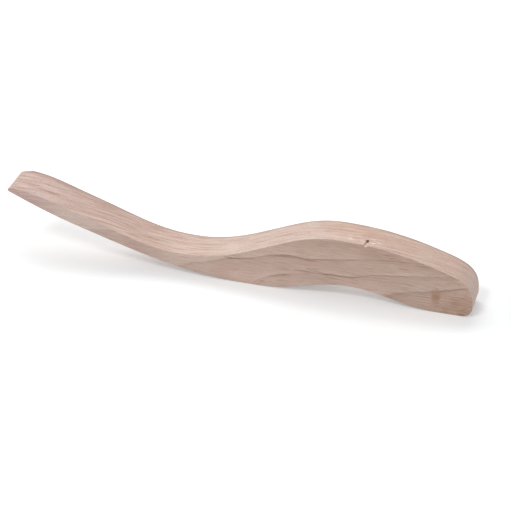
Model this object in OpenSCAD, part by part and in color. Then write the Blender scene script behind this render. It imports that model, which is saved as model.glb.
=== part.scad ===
// Curved transfer board: an S-shaped bar of solid beech that stands on its lower edge.
// Millimetres. X runs from the tip of the slender arm to the nose of the broad head,
// Y from the front face to the back face, and Z up from the surface that the bar stands on.

/* [Length] */
// From the arm's tip to the dip, the lowest point of the upper edge
arm_run = 234; // [200:1:270]
// From the dip to the crown, the highest point of the head
rise_run = 194; // [160:1:230]
// From the crown to the nose
head_run = 172; // [150:1:210]

/* [Thickness] */
// Between the faces at the arm's tip, where its nipped corner ends
tip_thickness = 54; // [30:1:70]
// Between the faces at the nose
nose_thickness = 44; // [30:1:70]

/* [Arm] */
// How far the arm's tip stands above the crown
tip_lift = 5.5; // [-6:0.5:25]
// Radius of the rounded tip
tip_round = 2; // [1:0.5:4]
// Angle at which the underside rises to the tip
tip_rake = 25; // [18:1:34]
// Length of the nipped corner of the tip along the back face
nip_run = 14; // [6:1:24]
// Depth of that corner across the tip
nip_depth = 7; // [2:0.5:12]
// From the tip to the middle of the arm
arm_mid_run = 100; // [85:1:120]
// Height of the upper edge at the middle of the arm
arm_mid_height = 62.5; // [56:0.5:70]
// Angle at which the arm falls there
arm_fall = 17.5; // [14:0.5:23]
// Depth of the arm there, square to its upper edge
arm_depth = 17; // [12:0.5:22]

/* [Upper edge] */
// Height of the dip
dip_height = 29; // [22:0.5:36]
// From the dip to the steepest point of the rise
rise_mid_run = 106; // [85:1:125]
// Height of that steepest point
rise_mid_height = 57; // [48:0.5:64]
// Angle of the rise there
rise_slope = 23.5; // [16:0.5:30]
// Height of the crown
crown_height = 81.5; // [72:0.5:95]

/* [Nose] */
// From the nose back to the shoulder, where the upper edge starts to turn down
shoulder_run = 40; // [30:1:55]
// Height of the shoulder
shoulder_height = 59.5; // [48:0.5:68]
// Angle at which the upper edge falls at the shoulder
shoulder_fall = 18; // [12:1:26]
// Radius of the heel under the nose
heel_round = 13; // [4:0.5:20]
// Length of the upright stretch between the heel and the nose's turn
nose_upright = 4; // [1:0.5:12]

/* [Underside] */
// Length of the flat foot behind the heel
foot_length = 31; // [20:1:45]
// From the crown to the top of the arch, towards the nose
arch_lag = 15; // [0:1:30]
// Height of the arch between the foot and the belly
arch_height = 18; // [10:0.5:26]
// From the dip to the belly, where the underside first meets the ground
belly_run = 86; // [70:1:100]
// Length of the flat on the belly
belly_flat = 12; // [4:1:24]

/* [Knot plug] */
// Diameter of the plug in the front face
plug_d = 10; // [6:0.5:14]
// Depth of the plug, and of its seat
plug_depth = 12; // [6:0.5:20]
// Glue gap round the plug
plug_gap = 0.1; // [0.05:0.05:0.2]
// From the nose back to the plug's centre
plug_inset = 45; // [35:1:70]
// Height of the plug's centre
plug_height = 22; // [16:0.5:28]

/* [Pin hole] */
// Diameter of the hole for the pin of the sawing template
pin_d = 3.5; // [2.5:0.25:4]
// Length of the hole from the front face
pin_length = 30; // [20:1:36]
// From the crown to the hole, towards the nose
pin_run = 37; // [5:1:60]
// How far the hole's axis lies under the upper edge, at the front face
pin_cover = 0.3; // [0:0.1:0.5]
// Angle at which the hole dives into the wood
pin_dive = 7; // [5:0.5:9]
// Width of the groove where the thin wood over the hole broke away
tear_width = 4.5; // [3:0.25:6]
// Length of that groove from the front face
tear_run = 14; // [8:0.5:18]

/* [Hidden] */
$fn = 64;

// Straight pieces in each curve of the outline, and in each small round
curve_steps = 20;
round_steps = 8;
// Length of a curve's handles as a share of the distance between its ends
handle = 0.37;
nose_handle = 0.45;
// Spare length of a cutting tool beyond the wood
overcut = 5;

bar_length = arm_run + rise_run + head_run;
tip_height = crown_height + tip_lift;
bar_height = max(tip_height, crown_height);
bar_thickness = max(tip_thickness, nose_thickness);
front_y = -bar_thickness / 2;
crown_x = arm_run + rise_run;
foot_x = bar_length - heel_round - foot_length;
belly_x = arm_run + belly_run;

// A knot is [x, z, heading]: a point of the outline and the direction of travel through it
function heading(angle) = [cos(angle), sin(angle)];
function place(knot) = [knot.x, knot.y];
// The point that lies a distance to the right of a knot's direction of travel
function to_right(knot, distance) = place(knot) + distance * heading(knot.z - 90);

// Points of a cubic curve from one knot to the next, without its last point
function curve(from, to, share = handle) =
    let (
        reach = share * norm(place(to) - place(from)),
        leave = place(from) + reach * heading(from.z),
        arrive = place(to) - reach * heading(to.z)
    )
    [
        for (i = [0 : curve_steps - 1])
            let (t = i / curve_steps, s = 1 - t)
            s^3 * place(from) + 3 * t * s^2 * leave + 3 * t^2 * s * arrive + t^3 * place(to)
    ];

// Points of a clockwise round about a centre, between two directions of travel
function turn(centre, radius, from_angle, to_angle) = [
    for (i = [0 : round_steps])
        let (angle = from_angle + (to_angle - from_angle) * i / round_steps)
        centre + radius * heading(angle + 90)
];

// Knots of the upper edge, from the tip to the nose
tip_centre = [tip_round, tip_height - tip_round];
tip_top = [tip_round, tip_height, 0];
arm_mid = [arm_mid_run, arm_mid_height, -arm_fall];
dip = [arm_run, dip_height, 0];
rise_mid = [arm_run + rise_mid_run, rise_mid_height, rise_slope];
crown = [crown_x, crown_height, 0];
shoulder = [bar_length - shoulder_run, shoulder_height, -shoulder_fall];
nose = [bar_length, heel_round + nose_upright, -90];

// Knots of the underside, from the heel back to the tip
foot = [foot_x, 0, 180];
arch = [crown_x + arch_lag, arch_height, 180];
belly_end = [belly_x + belly_flat, 0, 180];
belly = [belly_x, 0, 180];
under_arm = concat(to_right(arm_mid, arm_depth), 180 - arm_fall);
tip_under = concat(tip_centre + tip_round * heading(270 - tip_rake), 180 - tip_rake);

upper_edge = concat(
    curve(tip_top, arm_mid),
    curve(arm_mid, dip),
    curve(dip, rise_mid),
    curve(rise_mid, crown),
    curve(crown, shoulder),
    curve(shoulder, nose, nose_handle),
    [place(nose)]
);
underside = concat(
    turn([bar_length - heel_round, heel_round], heel_round, -90, -180),
    curve(foot, arch),
    curve(arch, belly_end),
    [place(belly_end)],
    curve(belly, under_arm),
    curve(under_arm, tip_under)
);
// The round of the tip ends where the upper edge begins
tip_turn = turn(tip_centre, tip_round, 180 - tip_rake, 0);
outline = concat(
    upper_edge,
    underside,
    [for (i = [0 : round_steps - 1]) tip_turn[i]]
);

// Thickness of the bar at a distance from the tip, whose back corner is nipped off
function thickness_at(x) = min(
    tip_thickness + (nose_thickness - tip_thickness) * (x - nip_run) / (bar_length - nip_run),
    tip_thickness - nip_depth * (1 - x / nip_run)
);

// The blank as the saw leaves it: the outline, square through the plank
module sawn_blank() {
    rotate([90, 0, 0])
        linear_extrude(height = bar_thickness + 2 * overcut, center = true)
            polygon(outline);
}

// The plank in plan: a straight front face, and a back face that draws in to the nose
module plank() {
    ends = [-overcut, bar_length + overcut];
    translate([0, 0, -overcut])
        linear_extrude(height = bar_height + 2 * overcut)
            polygon([
                [ends[0], front_y],
                [ends[1], front_y],
                for (x = [ends[1], nip_run, ends[0]]) [x, front_y + thickness_at(x)]
            ]);
}

// A round bar that runs into the wood from the front face
module front_drill(d, depth, lead = 0) {
    rotate([-90, 0, 0])
        translate([0, 0, -lead])
            cylinder(d = d, h = depth + lead);
}

module at_plug() {
    translate([bar_length - plug_inset, front_y, plug_height])
        children();
}

// The hole lies just under the upper edge, and a groove in that edge opens its first stretch
module pin_hole() {
    pin_x = crown_x + pin_run;
    translate([pin_x, front_y, lookup(pin_x, upper_edge)]) {
        front_drill(tear_width, tear_run, overcut);
        translate([0, 0, -pin_cover])
            rotate([-pin_dive, 0, 0])
                front_drill(pin_d, pin_length, overcut);
    }
}

// Solid beech bar, sawn to its outline, with the plug's seat and the open pin hole
module board() {
    color("#d6bdb0")
        translate([-bar_length / 2, 0, 0])
            difference() {
                intersection() {
                    sawn_blank();
                    plank();
                }
                at_plug()
                    front_drill(plug_d + 2 * plug_gap, plug_depth, overcut);
                pin_hole();
            }
}

// Brown plug glued flush into the front face
module knot_plug() {
    color("#8a6443")
        translate([-bar_length / 2, 0, 0])
            at_plug()
                front_drill(plug_d, plug_depth);
}

board();
knot_plug();
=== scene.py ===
"""A curved transfer board of solid beech, standing on its lower edge on a white studio floor."""

import math

import bmesh
import bpy
import numpy as np
from mathutils import Matrix, Vector, noise


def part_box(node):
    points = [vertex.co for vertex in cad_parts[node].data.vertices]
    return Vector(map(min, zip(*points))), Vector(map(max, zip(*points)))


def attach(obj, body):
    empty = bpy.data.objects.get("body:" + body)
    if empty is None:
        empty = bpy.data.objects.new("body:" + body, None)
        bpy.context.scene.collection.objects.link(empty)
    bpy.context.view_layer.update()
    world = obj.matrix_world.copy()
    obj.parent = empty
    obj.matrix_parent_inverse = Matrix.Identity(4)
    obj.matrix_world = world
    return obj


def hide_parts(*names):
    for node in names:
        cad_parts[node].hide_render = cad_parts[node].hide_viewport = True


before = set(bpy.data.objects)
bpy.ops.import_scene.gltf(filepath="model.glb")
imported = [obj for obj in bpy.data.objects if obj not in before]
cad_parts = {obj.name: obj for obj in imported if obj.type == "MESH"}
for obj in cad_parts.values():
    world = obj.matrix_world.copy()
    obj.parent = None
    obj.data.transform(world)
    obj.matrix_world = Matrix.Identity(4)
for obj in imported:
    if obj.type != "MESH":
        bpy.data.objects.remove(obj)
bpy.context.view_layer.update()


# Beech bar
# One piece of steamed beech, band-sawn to its S across a thick flat-sawn plank. The faces are planed,
# the sawn edge is sanded along its length, and the arrises are broken with a few strokes of paper.
# The pin of the sawing template left a hole in the upper edge, and the seat of a plug is bored in.

mm = 0.001
weld = 0.001 * mm
stations = 480
end_crowding = 0.9
across_steps = 14
rib_steps = 14
round_steps = 4
front_break = (0.4 * mm, 0.8 * mm)
back_break = (0.7 * mm, 1.4 * mm)
break_wander = 18 * mm
support = 0.4 * mm
sanding_hollow = 0.16 * mm
sanding_length = 45 * mm
hollow_seed = 1
front_seed = 2
back_seed = 3

board_low, board_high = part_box("board")


def back_rim(node):
    """Corners round the back of a CAD node, from the tip over the upper edge and back underneath."""
    cad = bmesh.new()
    cad.from_mesh(node.data)
    bmesh.ops.remove_doubles(cad, verts=cad.verts, dist=weld)
    back = {face for face in cad.faces if face.normal.y > 0.5}
    rim = {edge for edge in cad.edges if len(back.intersection(edge.link_faces)) == 1}
    tip = min((vert for edge in rim for vert in edge.verts), key=lambda vert: vert.co.x)
    edge = max(rim.intersection(tip.link_edges), key=lambda edge: edge.other_vert(tip).co.z)
    walk = [tip]
    while len(walk) < len(rim):
        walk.append(edge.other_vert(walk[-1]))
        edge = (rim.intersection(walk[-1].link_edges) - {edge}).pop()
    corners = np.array([vert.co for vert in walk])
    cad.free()
    return corners


def smooth_run(corners, shares):
    """Points at the given shares of the length of a smooth curve through the given corners."""
    spans = np.diff(corners, axis=0)
    lengths = np.linalg.norm(spans, axis=1, keepdims=True)
    slopes = spans / lengths
    between = slopes[:-1] * lengths[1:] + slopes[1:] * lengths[:-1]
    headings = np.vstack([slopes[:1], between / (lengths[:-1] + lengths[1:]), slopes[-1:]])
    reached = np.concatenate([[0], np.cumsum(lengths)])
    places = shares * reached[-1]
    span = np.clip(np.searchsorted(reached, places, side="right") - 1, 0, len(spans) - 1)
    length = lengths[span]
    t = (places - reached[span])[:, None] / length
    leave = (2 * t**3 - 3 * t**2 + 1) * corners[span] + (t**3 - 2 * t**2 + t) * length * headings[span]
    arrive = (3 * t**2 - 2 * t**3) * corners[span + 1] + (t**3 - t**2) * length * headings[span + 1]
    return leave + arrive


def wander(points, length, seed):
    """A smooth random number from 0 to 1 at each point, which changes over about the given length."""
    shift = Vector((seed, 2.3 * seed, 3.7 * seed))
    return np.array([0.5 + 0.5 * noise.noise(Vector(point) / length + shift) for point in points])


rim = back_rim(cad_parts["board"])
nose = int(np.argmax(rim[:, 0]))
plan = rim[[0, int(np.argmax(rim[:, 1])), nose]]
shares = np.linspace(0, 1, stations + 1)
shares -= end_crowding * np.sin(2 * np.pi * shares) / (2 * np.pi)
upper = smooth_run(rim[: nose + 1], shares)
under = smooth_run(np.vstack([rim[nose:], rim[:1]])[::-1], shares)
loop = np.clip(np.vstack([upper, under[-2:0:-1]]), board_low, board_high)

travel = np.roll(loop, -1, axis=0) - np.roll(loop, 1, axis=0)
outward = np.stack([-travel[:, 2], 0 * travel[:, 0], travel[:, 0]], axis=1)
outward /= np.linalg.norm(outward, axis=1, keepdims=True)


def front_line(x):
    """Where the planed front face lies, at a place along the bar."""
    return board_low.y + 0 * x


def back_line(x):
    """Where the back face lies: nipped at the tip, and drawing in towards the nose."""
    return np.interp(x, plan[:, 0], plan[:, 1])


def across(x, share):
    """Where a share of the way from the front face to the back face lies, at a place along the bar."""
    return front_line(x) * (1 - share) + back_line(x) * share


def edge_row(inset, share, depth):
    """A row round the bar: the outline drawn in by inset, a share of the way back, and depth more."""
    row = loop.copy()
    row[:, 1] = across(row[:, 0], share) + depth
    row -= outward * (inset + sanding_hollow * wander(row, sanding_length, hollow_seed))[:, None]
    row[:, 1] = across(row[:, 0], share) + depth
    return row


def arris_rows(least, most, seed):
    """Inset and distance from the face of each row of a broken arris, from the face to the edge."""
    radius = least + (most - least) * wander(loop, break_wander, seed)
    rows = [(radius + support, 0 * radius)]
    for angle in np.linspace(0, math.pi / 2, round_steps + 1):
        rows.append((radius * (1 - math.sin(angle)), radius * (1 - math.cos(angle))))
    rows.append((0 * radius, radius + support))
    return rows


front_arris = arris_rows(*front_break, front_seed)
back_arris = arris_rows(*back_break, back_seed)
rows = [edge_row(inset, 0, depth) for inset, depth in front_arris]
near = front_arris[-1][1]
far = -back_arris[-1][1]
for step in range(1, across_steps):
    share = step / across_steps
    rows.append(edge_row(0, share, near * (1 - share) + far * share))
rows += [edge_row(inset, 1, -depth) for inset, depth in reversed(back_arris)]

verts = [tuple(point) for row in rows for point in row]
faces = []
around = len(loop)
for row in range(len(rows) - 1):
    for k in range(around):
        here = row * around + k
        ahead = row * around + (k + 1) % around
        faces.append((here, ahead, ahead + around, here + around))


def planed_face(row, line, facing):
    """Fills a face with ribs from the upper edge to the underside, facing the front or the back."""
    start = row * around
    ribs = [[start] * (rib_steps + 1)]
    for k in range(1, stations):
        top = np.array(verts[start + k])
        bottom = np.array(verts[start + around - k])
        rib = [start + k]
        for step in range(1, rib_steps):
            point = top + (bottom - top) * step / rib_steps
            rib.append(len(verts))
            verts.append((point[0], float(line(point[0])), point[2]))
        ribs.append(rib + [start + around - k])
    ribs.append([start + stations] * (rib_steps + 1))
    for rib, following in zip(ribs, ribs[1:]):
        for step in range(rib_steps):
            corners = (rib[step], rib[step + 1], following[step + 1], following[step])
            faces.append(tuple(dict.fromkeys(corners))[::facing])


planed_face(0, front_line, 1)
planed_face(len(rows) - 1, back_line, -1)


def new_piece(name, verts, faces):
    """A mesh object in the scene."""
    mesh = bpy.data.meshes.new(name)
    mesh.from_pydata(verts, [], faces)
    mesh.update()
    piece = bpy.data.objects.new(name, mesh)
    bpy.context.scene.collection.objects.link(piece)
    return piece


bar = new_piece("beech_bar", verts, faces)


class Tone:
    """A value that varies over a surface: one socket of a material. Sums on it add Math nodes."""

    def __init__(self, tree, socket=None):
        self.tree = tree
        self.socket = socket

    def node(self, kind, settings=None, sockets=None, output=0):
        """Adds any node: its settings are set first, and then its sockets get values or links."""
        made = self.tree.nodes.new("ShaderNode" + kind)
        for name, value in (settings or {}).items():
            if name == "stops":
                made.color_ramp.elements.remove(made.color_ramp.elements[1])
                made.color_ramp.elements[0].position, made.color_ramp.elements[0].color = value[0]
                for position, colour in value[1:]:
                    made.color_ramp.elements.new(position).color = colour
            else:
                setattr(made, name, value)
        for name, value in (sockets or {}).items():
            if isinstance(value, Tone):
                self.tree.links.new(value.socket, made.inputs[name])
            else:
                made.inputs[name].default_value = value
        return Tone(self.tree, made.outputs[output] if made.outputs else None)

    def other(self, output):
        """Another output of the same node."""
        return Tone(self.tree, self.socket.node.outputs[output])

    def math(self, operation, *values):
        """A Math node on values or numbers."""
        return self.node("Math", {"operation": operation}, dict(enumerate(values)))

    def __add__(self, other):
        return self.math("ADD", self, other)

    def __sub__(self, other):
        return self.math("SUBTRACT", self, other)

    def __rsub__(self, other):
        return self.math("SUBTRACT", other, self)

    def __mul__(self, other):
        return self.math("MULTIPLY", self, other)

    def __truediv__(self, other):
        return self.math("DIVIDE", self, other)

    def __pow__(self, other):
        return self.math("POWER", self, other)

    def __rpow__(self, other):
        return self.math("POWER", other, self)

    def __abs__(self):
        return self.math("ABSOLUTE", self)

    __radd__ = __add__
    __rmul__ = __mul__

    def step(self, low, high):
        """Goes smoothly from 0 to 1 as the value goes from low to high."""
        sockets = {"Value": self, "From Min": low, "From Max": high}
        return self.node("MapRange", {"interpolation_type": "SMOOTHSTEP"}, sockets)

    def about(self, centre, end, full):
        """1 within full of a centre, going smoothly to 0 at the distance where it ends."""
        return abs(self - centre).step(end, full)

    def spot(self, x, y, z):
        """A place made of three values."""
        return self.node("CombineXYZ", None, {"X": x, "Y": y, "Z": z})

    def stretched(self, x, y, z):
        """A place whose unit is x, y and z millimetres long."""
        return self.node("VectorMath", {"operation": "DIVIDE"}, {0: self, 1: (x, y, z)})

    def cloud(self, detail=2.0):
        """Soft random values from 0 to 1, about one swell in each unit of a place."""
        return self.node("TexNoise", None, {"Vector": self, "Scale": 1.0, "Detail": detail})

    def drift(self, width, detail=2.0):
        """Soft random values about 0, as far apart as the given width."""
        return (self.cloud(detail) - 0.5) * width

    def blend(self, colour, other):
        """A colour with this share of another one mixed in."""
        return self.node("Mix", {"data_type": "RGBA"}, {0: self, 6: colour, 7: other}, 2)


def new_finish(name):
    """A material with no nodes yet, and the Tone that they are added to."""
    material = bpy.data.materials.new(name)
    material.use_nodes = True
    material.node_tree.nodes.clear()
    return material, Tone(material.node_tree)


def paint(red, green, blue):
    """A colour as it looks on a screen, from 0 to 255, in the renderer's linear values."""
    screen = [value / 255 for value in (red, green, blue)]
    linear = [v / 12.92 if v <= 0.04045 else ((v + 0.055) / 1.055) ** 2.4 for v in screen]
    return (*linear, 1.0)


per_metre = 1000


def millimetres_from(tone, zero):
    """A place on the piece, in millimetres from a zero point."""
    coordinates = tone.node("TexCoord", output="Object")
    scale = (per_metre, per_metre, per_metre)
    shift = tuple(-per_metre * zero)
    return tone.node("VectorMath", {"operation": "MULTIPLY_ADD"}, {0: coordinates, 1: scale, 2: shift})


def tinted(colour, zones):
    """A colour with zones of other colours laid over it in turn: where, how much, and which colour."""
    for where, share, wood in zones:
        colour = (where * share).blend(colour, wood)
    return colour


def bare_wood(tone, colour, roughness, gloss, relief, relief_strength, relief_depth):
    """The dull surface of unoiled wood, with a fine relief."""
    bump = {"Strength": relief_strength, "Distance": relief_depth, "Height": relief}
    sockets = {
        "Base Color": colour,
        "Roughness": roughness,
        "Specular IOR Level": gloss,
        "Normal": tone.node("Bump", None, bump),
    }
    tone.node("OutputMaterial", None, {"Surface": tone.node("BsdfPrincipled", None, sockets)})


pale_wood = paint(229, 207, 195)
scuffed_wood = paint(252, 232, 218)
base_wood = paint(215, 188, 174)
late_wood = paint(201, 172, 157)
line_wood = paint(172, 137, 119)
streak_wood = paint(128, 92, 72)
pink_wood = paint(214, 180, 170)
grey_wood = paint(203, 186, 175)
cool_wood = paint(210, 187, 184)
warm_wood = paint(203, 174, 158)
orange_late = paint(203, 165, 145)
brown_wood = paint(184, 146, 119)
arm_late_wood = paint(186, 150, 137)
nose_light_paint = paint(242, 219, 210)
rise_wood = paint(211, 192, 183)
belly_wood = paint(234, 205, 191)
tip_wood = paint(194, 164, 156)
back_shade_paint = paint(170, 143, 131)

# Places in the wood are millimetres: along from the tip, deep from the front face, high from the floor
beech, tone = new_finish("beech")
place = millimetres_from(tone, Vector((board_low.x, board_low.y, 0)))
along = tone.node("SeparateXYZ", None, {"Vector": place})
deep = along.other("Y")
high = along.other("Z")
nose_facing = tone.node("SeparateXYZ", None, {"Vector": tone.node("TexCoord", output="Normal")})
up_facing = nose_facing.other("Z")
on_top = up_facing.step(0.3, 0.8)
on_face = 1 - on_top

# Growth rings lie round a pith in front of the bar. The trunk tapers, and the rings bend on their way
pith_distance = 150
ring_taper = 0.042
ring_width = 5.15
ring_start = 131
fine = 3.0
plain = 1.0
growth = ((deep + pith_distance) ** 2 + high**2) ** 0.5 - along * ring_taper
lower_rings = growth.step(139, 137)
upper_rings = growth.step(138, 141)
sag_depth = 1.7 - 0.4 * along.step(445, 485)
sag = along.about(505, 110, 40) * lower_rings * sag_depth
rise_lift = along.about(358, 44, 2) * upper_rings * 1.45
head_lift = along.about(482, 45, 20) * upper_rings * 0.5
dip_drop = along.about(235, 70, 25) * growth.step(139.5, 140.5) * 0.5
swirl = place.stretched(90, 50, 34).drift(1.4)
feather = place.stretched(46, 8, 6).drift(0.9, fine)
uneven = tone.spot(along / 260, growth / 7, 0.3).drift(7) * growth.step(146, 153)
bent = growth + sag + dip_drop - rise_lift - head_lift
age = (bent + swirl + feather + uneven - ring_start) / ring_width
age = age - age.step(2, 4) * along.step(290, 350) * deep.step(40, 6)
year = tone.math("FLOOR", age)
season = age - year

# Each year goes from pale early wood to dark late wood. Some years and some stretches show more
seasons = [
    (0.0, late_wood), (0.025, base_wood), (0.07, pale_wood), (0.4, base_wood),
    (0.82, late_wood), (0.97, late_wood), (0.99, line_wood), (1.0, line_wood),
]
ring_colour = tone.node("ValToRGB", {"stops": seasons}, {"Fac": season})
year_strength = tone.spot(along / 70, year * 4.3, deep / 40).cloud().step(0.25, 0.75)
ring_contrast = 0.5 + 0.4 * along.about(232, 50, 25) + 0.5 * along.step(250, 340)
heel_fade = age.step(0, -0.03) * along.step(465, 490)
arc_fade = along.about(391, 28, 16) * age.step(1.5, 1.2)
ring_contrast = ring_contrast * (1 - 0.7 * heel_fade) * (1 - 0.6 * arc_fade)
ring_strength = (0.4 + 0.55 * year_strength) * ring_contrast
colour = ring_strength.blend(base_wood, ring_colour)

# Dark lines: the ends of the years, streaks beside them, dashes, and an arc over the belly
line_strength = tone.spot(along / 34, year * 3.1, 0.7).cloud().step(0.3, 0.7) * along.step(230, 330)
year_end = tone.math("PINGPONG", age, 0.5).step(0.07, 0.015)
ring_line = year_end * age.step(2.6, 2.3) * (1 - 0.85 * arc_fade)
upper_streak = age.about(1.9, 0.11, 0.04) * along.about(380, 46, 12)
heel_streak = age.about(-0.08, 0.1, 0.02) * along.step(460, 520)
level_dash = high.about(30.6, 1.5, 0.3) * along.about(399, 24, 17)
falling_path = 31.2 + 4 * along.step(418, 390)
falling_dash = high.about(falling_path, 1.5, 0.3) * along.about(422, 33, 26)
long_dashes = tone.math("MAXIMUM", level_dash, falling_dash)
faint_path = 37.4 - 0.08 * (along - 451)
faint_dash = high.about(faint_path, 1.3, 0.3) * along.about(451, 17, 9)
dip_dash = high.about(34.3, 1.6, 0.3) * along.about(297, 14, 8)
arc_rise = 11.5
arc_bend = 0.93
arc_slope = 0.26
arc_run = along - 321
over_arc = high - arc_rise * (1 - arc_bend**arc_run) - arc_run * arc_slope
arc_band = over_arc.step(0.2, 1.4) * over_arc.step(8, 3) * along.about(343, 38, 18)
arc_line = over_arc.about(0, 1.8, 0.4) * along.about(338, 26, 14)
colour = tinted(colour, [
    (ring_line, (0.12 + 0.53 * line_strength) * on_face, streak_wood),
    (upper_streak, 0.85, streak_wood),
    (heel_streak, 0.25, streak_wood),
    (long_dashes, 0.65, streak_wood),
    (faint_dash, 0.325, streak_wood),
    (arc_band, 0.6 * on_face, belly_wood),
    (arc_line, 0.5 * on_face, streak_wood),
    (dip_dash, 0.5 * on_face, streak_wood),
])

# Broad changes of colour: pink and grey years, a cool arm, a warm head, a brown nose, the plug's stain
pink_year = age.step(1.0, 1.25) * age.step(2.0, 1.75) * along.about(370, 90, 40)
grey_year = age.step(0.0, 0.25) * age.step(1.0, 0.75) * along.about(500, 75, 40)
patches = place.stretched(34, 16, 11).cloud()
cool_arm = along.step(240, 60)
cool_head = along.step(470, 530) * high.step(20, 32)
warm_head = along.step(150, 600) * (1 - 0.6 * cool_head)
brown_end = along.step(530, 590) * high.step(50, 12)
stain_run = (along - 554.5) / 5.5
stain_rise = (high - 24) / 9.5
from_stain = (stain_run**2 + stain_rise**2) ** 0.5 + place.stretched(5, 5, 4).cloud() * 1.2
stain = from_stain.step(2.1, 1.2) * deep.step(8, 1)
colour = tinted(colour, [
    (pink_year, 0.3 * on_face, pink_wood),
    (grey_year, 0.3 * on_face, grey_wood),
    (patches.step(0.5, 0.75), 0.4, pink_wood),
    (patches.step(0.5, 0.25), 0.4, grey_wood),
    (cool_arm, 0.35 + 0.25 * on_face, cool_wood),
    (warm_head, 0.45, warm_wood),
    (brown_end, 0.6, brown_wood),
    (stain, 0.75, brown_wood),
])

# Zones of the faces: the arm and its tip, the belly, the arch, the dip, the crown and the head
arm_ring = growth + feather
arm_pale = along.about(100, 60, 25) * arm_ring.step(151.6, 152.6)
arm_late = along.about(160, 75, 45) * arm_ring.step(152.6, 151.8) * arm_ring.step(145, 149)
arm_dim = along.about(182, 34, 14)
tip_shade = along.step(75, 20)
belly_pale = along.about(345, 70, 40) * high.step(24, 10)
# Paler low on the face beside the arch: painted light that lifts the shade near the floor there
arch_painted_light = along.about(466, 42, 18) * high.step(36, 20)
dip_low = along.about(235, 50, 25) * growth.step(141.8, 140.5)
dip_pale = along.about(232, 62, 30) * (growth + dip_drop).step(141.2, 142.2)
crown_top = 81.5
shoulder_drop = 22
shoulder_run = (along - 428) / 132
under_crown = crown_top - shoulder_drop * shoulder_run**2 - high
crown_shade = under_crown.step(20, 3) * along.step(360, 440) * along.step(596, 575)
dark_wedge = age.step(2.0, 2.05) * age.step(2.6, 2.15) * along.about(495, 45, 20)
colour = tinted(colour, [
    (arm_pale, 0.65 * on_face, pale_wood),
    (arm_late, 0.45 * on_face, late_wood),
    (tip_shade, 0.32 + 0.08 * on_face, tip_wood),
    (belly_pale, 0.6 * on_face, belly_wood),
    (arch_painted_light, 0.48 * on_face, belly_wood),
    (dip_low, 0.4 * on_face, pale_wood),
    (dip_pale, 0.5 * on_face, pale_wood),
    (crown_shade, 0.3 * on_face, line_wood),
    (dark_wedge, 0.35 * on_face, line_wood),
    (arm_dim, 0.35 * on_face, tip_wood),
])

# Zones of the sanded upper edge, and painted light on the end of the nose, which faces away from the
# lamps
sanded_pale = along.about(335, 165, 80) * deep.step(34, 14)
pale_strip = along.about(382, 68, 40) * deep.step(17, 10)
scuffs = place.stretched(9, 3, 20).cloud().step(0.48, 0.62)
scuffed = along.about(460, 27, 14) * deep.about(14, 10, 5) * scuffs
orange_band = along.about(462, 85, 45) * deep.about(25, 13, 4)
crown_back = along.about(442, 32, 12) * deep.step(12, 30)
rise_pale = along.about(335, 95, 50)
spot_run = (along - 164) / 11
spot_depth = (deep - 9) / 5
arm_spot = (spot_run**2 + spot_depth**2).step(1.0, 0.2)
arm_back = along.step(225, 150) * along.step(50, 90) * deep.step(-6, 22)
# The end of the nose is painted pale: painted light where it faces away from the lamps
nose_painted_light = nose_facing.step(0.5, 0.95)
colour = tinted(colour, [
    (sanded_pale, 0.26 * on_top, pale_wood),
    (pale_strip, 0.2 * on_top, pale_wood),
    (scuffed, 0.75 * on_top, scuffed_wood),
    (orange_band, 0.45 * on_top, orange_late),
    (crown_back, 0.35 * on_top, orange_late),
    (rise_pale, 0.45 * on_top, rise_wood),
    (arm_spot, 0.4 * on_top, brown_wood),
    (arm_back, 0.45 * on_top, arm_late_wood),
    (nose_painted_light, 0.8, nose_light_paint),
])

# Fine grain: streaks and fibres along the wood, bands and lines on the upper edge, flecks and pores
streaks = place.stretched(90, 2.2, 2.2).cloud(fine)
streak_strength = (0.4 + 0.25 * along.step(260, 140)) * on_face
fibres = place.stretched(22, 1.2, 1.2).cloud(fine)
fibre_strength = 0.4 + (0.3 + 0.3 * along.step(460, 510)) * on_face
bands = tone.spot(along / 80, growth / 4.8, 0.1).cloud()
band_strength = 0.35 * on_top
lines = tone.spot(along / 34, growth / 2.5, 0.9).cloud(fine)
lines_strength = (0.7 + 0.3 * along.step(115, 55) - 0.35 * along.step(330, 560)) * on_top
flecks = place.stretched(4.0, 1.6, 0.9).cloud(plain)
pores = place.stretched(11, 2.0, 1.0).cloud(plain).step(0.56, 0.72) * brown_end
colour = tinted(colour, [
    (streaks.step(0.5, 0.78), streak_strength, orange_late),
    (streaks.step(0.5, 0.22), streak_strength, pale_wood),
    (fibres.step(0.5, 0.8), fibre_strength, line_wood),
    (fibres.step(0.5, 0.2), fibre_strength, pale_wood),
    (bands.step(0.48, 0.7), band_strength, orange_late),
    (bands.step(0.5, 0.3), band_strength, pale_wood),
    (lines.step(0.5, 0.75), lines_strength, line_wood),
    (lines.step(0.5, 0.25), lines_strength, pale_wood),
    (flecks.step(0.62, 0.8), 0.5, streak_wood),
    (pores, 0.6, streak_wood),
])

# Painted shade along the back arris of the upper edge, in a strip that is wider towards the tip
back_draw = float((plan[1, 1] - plan[2, 1]) / (plan[2, 0] - plan[1, 0]))
back_start = float(per_metre * (plan[1, 1] - board_low.y + back_draw * (plan[1, 0] - board_low.x)))
from_back = back_start - along * back_draw - deep
strip_width = 5.5 + 7 * along.step(140, 60)
# Painted shade: the upper edge is darkened next to its back arris
back_arris_shade = up_facing.step(0.1, 0.5) * from_back.step(strip_width, 1.2)
colour = tinted(colour, [(back_arris_shade, 0.7, back_shade_paint)])

relief = fibres * 0.6 - flecks.step(0.6, 0.8) * 0.3
bare_wood(
    tone, colour, roughness=0.62 + 0.2 * fibres, gloss=0.3,
    relief=relief, relief_strength=0.3, relief_depth=0.3 * mm,
)
bar.data.materials.append(beech)

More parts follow.
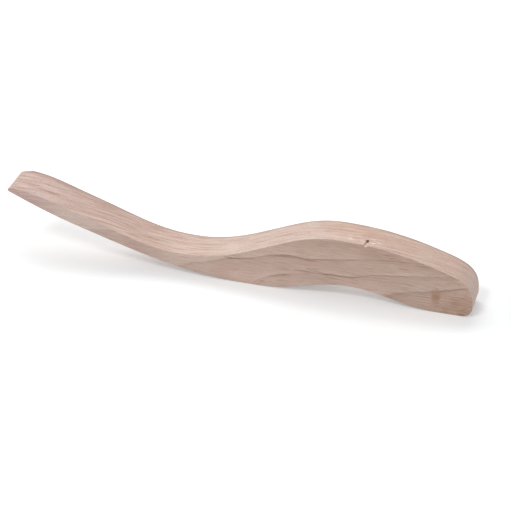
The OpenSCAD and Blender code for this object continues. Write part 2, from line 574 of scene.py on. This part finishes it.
# The wall of a hole, painted paler than the wood as painted light against the shade in it: torn fibres
# near its mouth, and paler still further in, where the hole is deepest
torn_pale = paint(230, 209, 196)
torn_dark = paint(216, 193, 179)
hole_light_paint = paint(240, 224, 210)
torn_end = 13
hole_light_start = 17

bored, tone = new_finish("bored_wood")
place = millimetres_from(tone, Vector())
inside = tone.node("SeparateXYZ", None, {"Vector": place}, "Y") - per_metre * board_low.y
fuzz = place.stretched(4, 1.2, 1.2).cloud(fine)
colour = fuzz.step(0.35, 0.65).blend(torn_pale, torn_dark)
# Further in, the wall is painted paler still: painted light against the deep shade in the hole
colour = inside.step(torn_end, hole_light_start).blend(colour, hole_light_paint)
bare_wood(
    tone, colour, roughness=0.8, gloss=0.2,
    relief=fuzz, relief_strength=0.6, relief_depth=0.4 * mm,
)


def new_drill(name, sides, radius, mouth, direction, lead, depth):
    """A round cutting tool that starts a lead outside the mouth of a hole and ends at its depth."""
    tool = bmesh.new()
    length = lead + depth
    middle = mouth - direction * lead + direction * (length / 2)
    turned = direction.to_track_quat("Z", "X").to_matrix().to_4x4()
    bmesh.ops.create_cone(
        tool, cap_ends=True, segments=sides, radius1=radius, radius2=radius, depth=length,
        matrix=Matrix.Translation(middle) @ turned,
    )
    mesh = bpy.data.meshes.new(name)
    tool.to_mesh(mesh)
    tool.free()
    mesh.materials.append(bored)
    drill = bpy.data.objects.new(name, mesh)
    bpy.context.scene.collection.objects.link(drill)
    return drill


def cut_out(piece, tool):
    """Takes the tool's shape out of a piece. The cut keeps the tool's material."""
    cut = piece.modifiers.new("cut", "BOOLEAN")
    cut.object = tool
    cut.operation = "DIFFERENCE"
    cut.solver = "EXACT"
    cut.material_mode = "TRANSFER"
    shaped = piece.evaluated_get(bpy.context.evaluated_depsgraph_get())
    mesh = bpy.data.meshes.new_from_object(shaped)
    piece.modifiers.clear()
    piece.data = mesh
    bpy.data.objects.remove(tool)


# The pin of the sawing template went in just under the upper edge, and the thin wood over it tore away
pin_x = 165 * mm
pin_radius = 1.75 * mm
pin_length = 30 * mm
pin_cover = 0.3 * mm
pin_dive = math.radians(7)
pin_lead = 5 * mm
pin_sides = 32
tear_radius = 2.25 * mm
tear_run = 14 * mm

inwards = Vector((0, 1, 0))
tear_mouth = Vector((pin_x, board_low.y, float(np.interp(pin_x, upper[:, 0], upper[:, 2]))))
cut_out(bar, new_drill("tear", pin_sides, tear_radius, tear_mouth, inwards, pin_lead, tear_run))
dive = Vector((0, math.cos(pin_dive), -math.sin(pin_dive)))
pin_mouth = tear_mouth - Vector((0, 0, pin_cover))
cut_out(bar, new_drill("pin", pin_sides, pin_radius, pin_mouth, dive, pin_lead, pin_length))

# The seat of the plug is bored square into the front face, with room for the glue
plug_low, plug_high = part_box("knot_plug")
glue_gap = 0.1 * mm
plug_sides = 64
seat_lead = 1 * mm

plug_radius = (plug_high.x - plug_low.x) / 2
plug_depth = plug_high.y - plug_low.y
plug_centre = Vector(((plug_low.x + plug_high.x) / 2, plug_low.y, (plug_low.z + plug_high.z) / 2))
seat_radius = plug_radius + glue_gap
cut_out(bar, new_drill("seat", plug_sides, seat_radius, plug_centre, inwards, seat_lead, plug_depth))

sharp_angle = math.radians(32)


def sanded(piece):
    """Turns a piece's faces outwards and smooths all but its sharp corners."""
    skin = bmesh.new()
    skin.from_mesh(piece.data)
    bmesh.ops.recalc_face_normals(skin, faces=skin.faces)
    skin.to_mesh(piece.data)
    skin.free()
    piece.data.shade_smooth()
    piece.data.set_sharp_from_angle(angle=sharp_angle)


sanded(bar)
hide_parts("board")
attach(bar, "root")


# Knot plug
# A loose knot near the nose was bored out and filled with a short side-grain plug of brown wood,
# glued in and planed flush with the front face.

plug_rings = 6
plug_ease = 0.25 * mm
ease_middle = 0.3 * plug_ease

plug_profile = [(plug_radius * ring / plug_rings, 0) for ring in range(1, plug_rings)]
plug_profile += [(plug_radius - plug_ease, 0), (plug_radius - ease_middle, ease_middle)]
plug_profile += [(plug_radius, plug_ease), (plug_radius, plug_depth / 2), (plug_radius, plug_depth)]
verts = [tuple(plug_centre)]
faces = []
for radius, depth in plug_profile:
    for side in range(plug_sides):
        angle = 2 * math.pi * side / plug_sides
        outwards = Vector((math.cos(angle), 0, math.sin(angle)))
        verts.append(tuple(plug_centre + outwards * radius + inwards * depth))
for side in range(plug_sides):
    ahead = (side + 1) % plug_sides
    faces.append((0, 1 + side, 1 + ahead))
    for ring in range(len(plug_profile) - 1):
        start = 1 + ring * plug_sides
        faces.append((start + side, start + plug_sides + side, start + plug_sides + ahead, start + ahead))
faces.append(tuple(len(verts) - plug_sides + side for side in range(plug_sides))[::-1])
plug = new_piece("brown_plug", verts, faces)

plug_brown = paint(178, 144, 120)
plug_dark = paint(146, 109, 84)
plug_pale = paint(196, 162, 138)
plug_rim = paint(202, 171, 152)

plug_wood, tone = new_finish("plug_wood")
from_centre = millimetres_from(tone, plug_centre)
reach = tone.node("VectorMath", {"operation": "LENGTH"}, {0: from_centre}, "Value")
grain = from_centre.stretched(9, 0.8, 0.8).cloud(fine)
blotch = from_centre.stretched(5, 5, 3.5).cloud()
colour = tinted(plug_brown, [
    (grain.step(0.45, 0.75), 0.5, plug_dark),
    (blotch.step(0.4, 0.7), 0.5, plug_pale),
    (reach.step(2.6, 5.2), 0.75, plug_rim),
])
bare_wood(
    tone, colour, roughness=0.6 + 0.2 * grain, gloss=0.3,
    relief=grain, relief_strength=0.3, relief_depth=0.3 * mm,
)
plug.data.materials.append(plug_wood)

sanded(plug)
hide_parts("knot_plug")
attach(plug, "root")


# Studio
# A white floor that keeps the soft shadow of the board, a wide panel of light behind it on the left,
# a lamp high in front on the left, and the light of a pale room. The camera stands where the
# photograph was taken from.

floor_half = 12
floor_corners = [(-floor_half, -floor_half), (floor_half, -floor_half)]
floor_corners += [(floor_half, floor_half), (-floor_half, floor_half)]
floor = new_piece("floor", [(x, y, 0) for x, y in floor_corners], [(0, 1, 2, 3)])


def seen_directly(tone):
    """1 for what the camera sees, also in a reflection or through glass, and 0 for other light."""
    rays = tone.node("LightPath", output="Is Camera Ray")
    mirrored = tone.math("MAXIMUM", rays.other("Is Glossy Ray"), rays.other("Is Transmission Ray"))
    return tone.math("MAXIMUM", rays, mirrored)


def shown_as(tone, lighting, picture):
    """A shader that lights the board as one thing and shows in the picture as another."""
    return tone.node("MixShader", None, {0: seen_directly(tone), 1: lighting, 2: picture})


def grey(value):
    """A neutral colour."""
    return (value, value, value, 1)


floor_white = grey(0.8)
shadow_white = (0.70, 0.712, 0.718, 1)
glow_under = grey(0.32)
glow_beside = grey(0.46)
glow_far = grey(1)
beside = (0.03, 0.08)
far_away = (0.7, 2.2)

# The floor glows more away from the board, so that its shadow stays near it and the far floor is white
white, tone = new_finish("white_floor")
floor_place = tone.node("TexCoord", output="Object")
beside_board = abs(tone.node("SeparateXYZ", None, {"Vector": floor_place}, "Y"))
from_board = tone.node("VectorMath", {"operation": "LENGTH"}, {0: floor_place}, "Value")
glow_colour = beside_board.step(*beside).blend(glow_under, glow_beside)
glow_colour = from_board.step(*far_away).blend(glow_colour, glow_far)
glow = tone.node("Emission", None, {"Color": glow_colour, "Strength": 1.0})
shaded = tone.node("BsdfDiffuse", None, {"Color": shadow_white})
picture = tone.node("AddShader", None, {0: shaded, 1: glow})
lighting = tone.node("BsdfDiffuse", None, {"Color": floor_white})
tone.node("OutputMaterial", None, {"Surface": shown_as(tone, lighting, picture)})
floor.data.materials.append(white)

room_light = 0.44
room = bpy.data.worlds.new("pale_room")
bpy.context.scene.world = room
room.use_nodes = True
room.node_tree.nodes.clear()
tone = Tone(room.node_tree)
lighting = tone.node("Background", None, {"Color": grey(1), "Strength": room_light})
backdrop = tone.node("Background", None, {"Color": grey(1), "Strength": 1.0})
tone.node("OutputWorld", None, {"Surface": shown_as(tone, lighting, backdrop)})

# Each lamp's name, width in metres, power in watts and place
lamps = (
    ("back_panel", 4.5, 150, Vector((-1.5, 3.4, 3.9))),
    ("front_lamp", 1.8, 140, Vector((-2.0, -3.6, 5.7))),
)
for name, size, power, stand in lamps:
    lamp_data = bpy.data.lights.new(name, "AREA")
    lamp_data.shape = "DISK"
    lamp_data.size = size
    lamp_data.energy = power
    lamp = bpy.data.objects.new(name, lamp_data)
    lamp.location = stand
    lamp.rotation_euler = (-stand).to_track_quat("-Z", "Y").to_euler()
    bpy.context.scene.collection.objects.link(lamp)

camera_turn = math.radians(16.11)
camera_rise = math.radians(31.19)
camera_distance = 2.507
camera_lens = 141.2
aim = Vector((0.0182, 0, 0.0264))
away = Vector((
    math.sin(camera_turn) * math.cos(camera_rise),
    -math.cos(camera_turn) * math.cos(camera_rise),
    math.sin(camera_rise),
))
camera_data = bpy.data.cameras.new("camera")
camera_data.lens = camera_lens
camera = bpy.data.objects.new("camera", camera_data)
camera.location = aim + away * camera_distance
camera.rotation_euler = (-away).to_track_quat("-Z", "Y").to_euler()
bpy.context.scene.collection.objects.link(camera)
bpy.context.scene.camera = camera
bpy.context.scene.view_settings.view_transform = "Standard"
